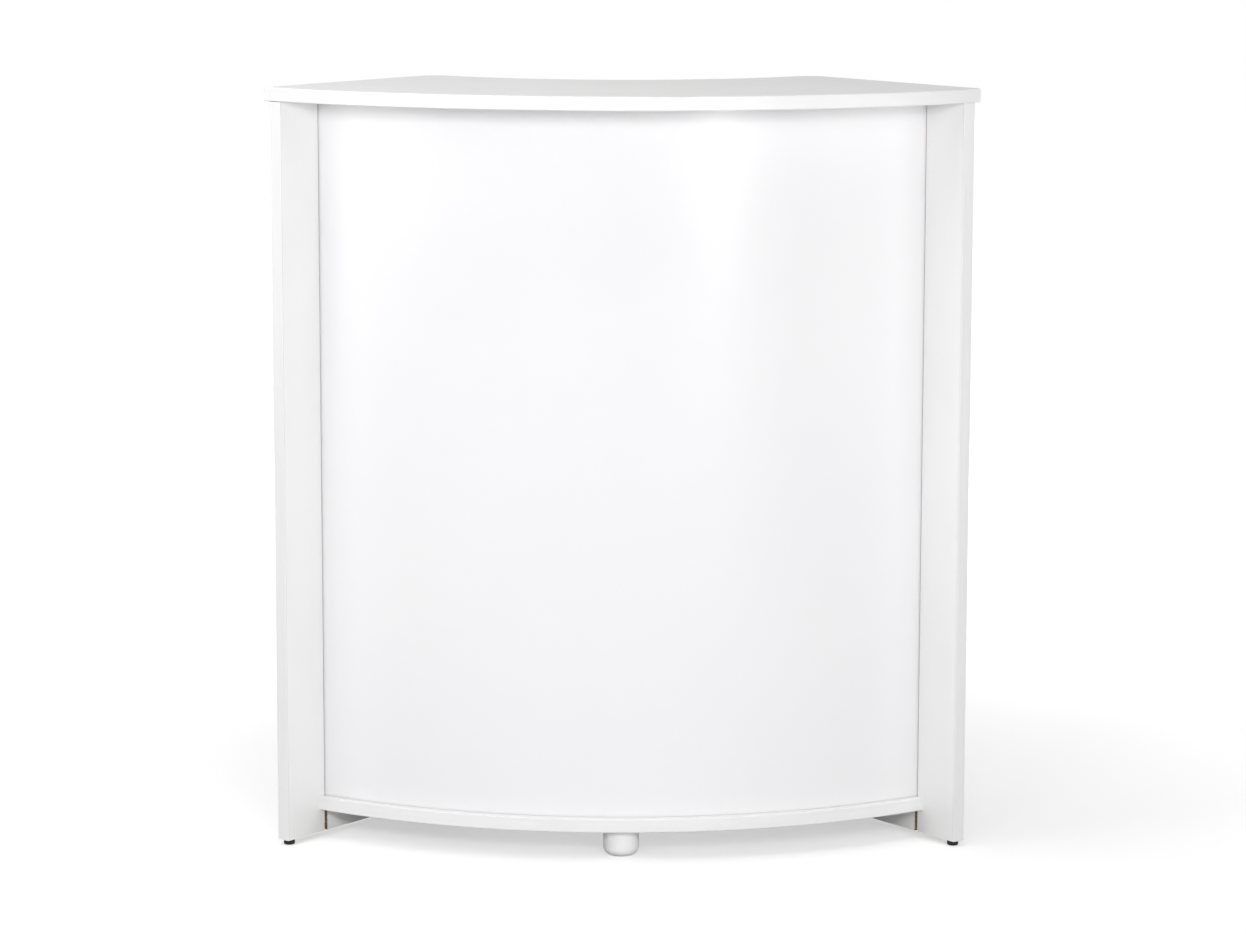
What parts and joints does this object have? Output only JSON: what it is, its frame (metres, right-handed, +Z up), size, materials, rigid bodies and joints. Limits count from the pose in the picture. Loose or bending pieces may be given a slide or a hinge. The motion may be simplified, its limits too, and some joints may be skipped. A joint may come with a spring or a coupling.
{
  "type": "checkout counter",
  "caption": "Curved free-standing counter: convex front panel between two angled side panels, overhanging worktop with a concave back, and open niches behind.",
  "frame": {"origin": "middle of the footprint's bounding box, on the floor", "axes": "+Z up, -Y to the customer's side (convex front), +X to the right seen from the front"},
  "size_m": [0.967, 0.449, 1.048],
  "materials": {
    "white_board": "white melamine on particle board, satin",
    "white_panel": "white coated bent fibreboard, satin",
    "edge_strip": "white plastic edge strip, satin",
    "black_plastic": "moulded, satin",
    "dowel_wood": "beech, plain",
    "cast_zinc": "die-cast",
    "cap_plastic": "moulded, satin",
    "foot_plastic": "moulded, satin",
    "nickel_steel": "nickel plated",
    "zinc_steel": "zinc plated"
  },
  "bodies": {
    "carcass": {"base_board": "white_board", "base_board_cam_bolts": "zinc_steel", "base_board_cam_housings": "cast_zinc", "base_board_dowels": "dowel_wood", "base_board_front_strip": "edge_strip", "base_board_rear_strip": "edge_strip", "fixed_shelf": "white_board", "fixed_shelf_cam_bolts": "zinc_steel", "fixed_shelf_cam_caps": "cap_plastic", "fixed_shelf_cam_housings": "cast_zinc", "fixed_shelf_dowels": "dowel_wood", "fixed_shelf_rear_strip": "edge_strip", "foot_flange": "foot_plastic", "foot_flange_screws": "zinc_steel", "foot_hole_cap": "cap_plastic", "front_panel": "white_panel", "glide_front_left": "black_plastic", "glide_front_right": "black_plastic", "glide_nails": "zinc_steel", "glide_rear_left": "black_plastic", "glide_rear_right": "black_plastic", "shelf_pins": "nickel_steel", "side_panel_left": "white_board", "side_panel_left_front_strip": "edge_strip", "side_panel_left_rear_strip": "edge_strip", "side_panel_right": "white_board", "side_panel_right_front_strip": "edge_strip", "side_panel_right_rear_strip": "edge_strip", "worktop_board": "white_board", "worktop_cam_bolts": "zinc_steel", "worktop_cam_caps": "cap_plastic", "worktop_cam_housings": "cast_zinc", "worktop_dowels": "dowel_wood", "worktop_front_strip": "edge_strip", "worktop_side_and_back_strip": "edge_strip"},
    "adjustable_shelf": {"adjustable_shelf": "white_board", "adjustable_shelf_rear_strip": "edge_strip"},
    "foot_screw": {"foot_screw": "zinc_steel"},
    "foot_cup": {"foot_cup": "foot_plastic"}
  },
  "joints": [
    {"name": "shelf_lift", "type": "slide", "parent": "carcass", "child": "adjustable_shelf", "axis": [0, 0, 1], "range_m": [0, 0.27]},
    {"name": "foot_screw_turn", "type": "hinge", "parent": "carcass", "child": "foot_screw", "pos_m": [0, -0.099, 0.038], "axis": [0, 0, 1], "range_deg": [0, 2880]},
    {"name": "foot_cup_slide", "type": "slide", "parent": "carcass", "child": "foot_cup", "axis": [0, 0, -1], "range_m": [0, 0.01]}
  ],
  "couplings": [
    {"joint": "foot_cup_slide", "follows": "foot_screw_turn", "m_per_rad": 0.0001989}
  ]
}
